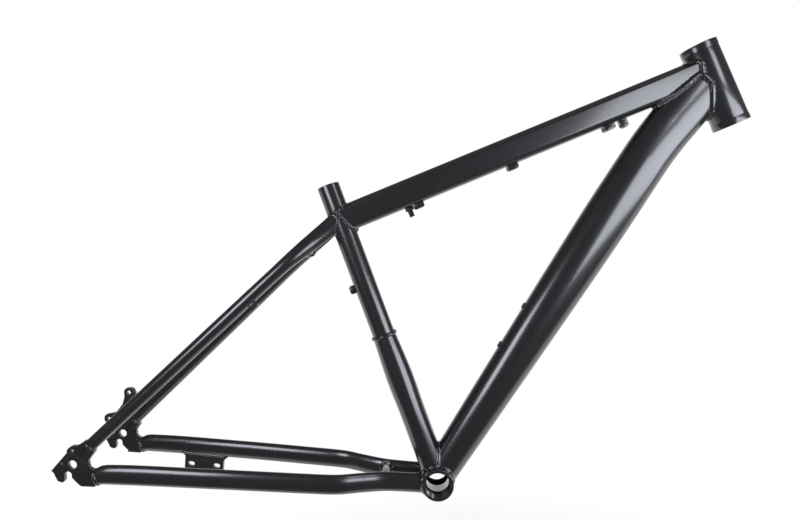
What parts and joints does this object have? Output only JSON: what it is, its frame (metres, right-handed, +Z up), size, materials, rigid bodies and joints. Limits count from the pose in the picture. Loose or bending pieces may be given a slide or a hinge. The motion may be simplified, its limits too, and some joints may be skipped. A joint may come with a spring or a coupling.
{
  "type": "bicycle frame",
  "caption": "Welded aluminium bicycle frame with shaped tubes, threaded bottom bracket shell, slotted rear dropouts, disc brake mount, kickstand plate and cable guides.",
  "frame": {"origin": "centre of the bottom bracket shell, on the frame's middle plane", "axes": "+X forward, +Y to the rider's left, along the bottom bracket axis, +Z up, with the wheels level"},
  "size_m": [0.9689, 0.1538, 0.6124],
  "materials": {
    "satin_black_paint": "satin black paint over aluminium alloy tube"
  },
  "bodies": {
    "root": {"bb_shell": "satin_black_paint", "bottle_bosses": "satin_black_paint", "chainstay_bridge": "satin_black_paint", "chainstay_left": "satin_black_paint", "chainstay_right": "satin_black_paint", "disc_brake_mount": "satin_black_paint", "down_tube": "satin_black_paint", "dropout_left": "satin_black_paint", "dropout_right": "satin_black_paint", "front_cable_guide": "satin_black_paint", "front_hose_guide": "satin_black_paint", "head_tube": "satin_black_paint", "kickstand_plate": "satin_black_paint", "middle_cable_guide": "satin_black_paint", "rear_cable_guide": "satin_black_paint", "rear_cable_stop": "satin_black_paint", "seat_tube": "satin_black_paint", "seat_tube_cable_guide": "satin_black_paint", "seat_tube_lower": "satin_black_paint", "seatstay_bridge": "satin_black_paint", "seatstay_cable_guide": "satin_black_paint", "seatstay_left": "satin_black_paint", "seatstay_right": "satin_black_paint", "top_tube": "satin_black_paint"}
  },
  "joints": []
}
